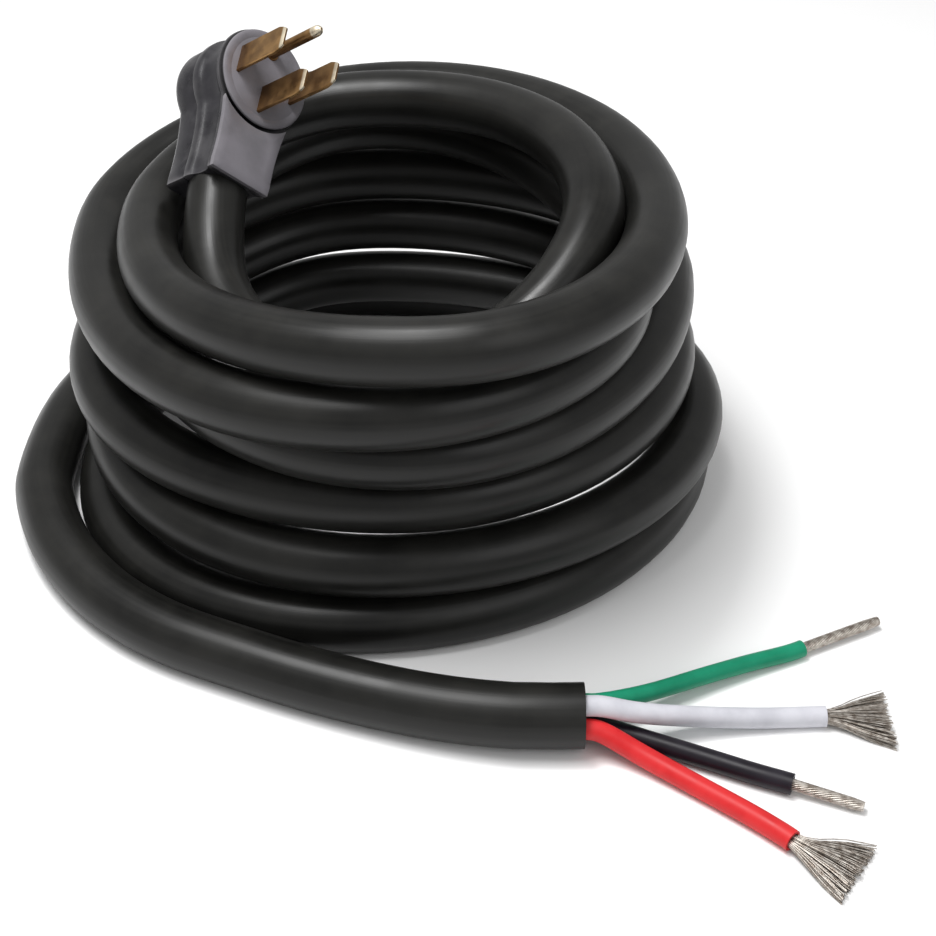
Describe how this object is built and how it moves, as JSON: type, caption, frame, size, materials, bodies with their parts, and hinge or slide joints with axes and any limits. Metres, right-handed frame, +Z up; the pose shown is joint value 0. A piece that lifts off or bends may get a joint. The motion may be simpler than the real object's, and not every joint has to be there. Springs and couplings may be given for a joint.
{
  "type": "shore power cord",
  "caption": "Heavy round power cable wound into a stack of loose loops, with a moulded angle plug at one end and stripped wires at the other.",
  "frame": {"origin": "centre of the whole part's footprint, on the surface that the coil lies on", "axes": "+Z up, the coil's axis; +Y from the open wires' side towards the far side of the coil; +X along the cut cable end, towards the stripped wires"},
  "size_m": [0.374, 0.4054, 0.2001],
  "materials": {
    "jacket": "satin, slightly oily sheen",
    "filler": "matt",
    "insulation_white": "satin",
    "insulation_red": "satin",
    "insulation_black": "satin",
    "insulation_green": "satin",
    "strands": "tinned, dull",
    "plug_moulding": "satin",
    "plug_face": "satin",
    "blade_brass": "worn, satin"
  },
  "bodies": {
    "root": {"coiled_cable": "jacket", "open_lead": "jacket", "jacket_end": "jacket", "core_filler": "filler", "white_wire": "insulation_white", "red_wire": "insulation_red", "black_wire": "insulation_black", "green_wire": "insulation_green", "white_strands": "strands", "red_strands": "strands", "black_strands": "strands", "green_strands": "strands", "plug_body": "plug_moulding", "blade_carrier": "plug_face", "left_hot_blade": "blade_brass", "right_hot_blade": "blade_brass", "neutral_blade": "blade_brass", "ground_pin": "blade_brass", "plug_black_wire": "insulation_black", "plug_red_wire": "insulation_red", "plug_white_wire": "insulation_white", "plug_green_wire": "insulation_green"}
  },
  "joints": []
}
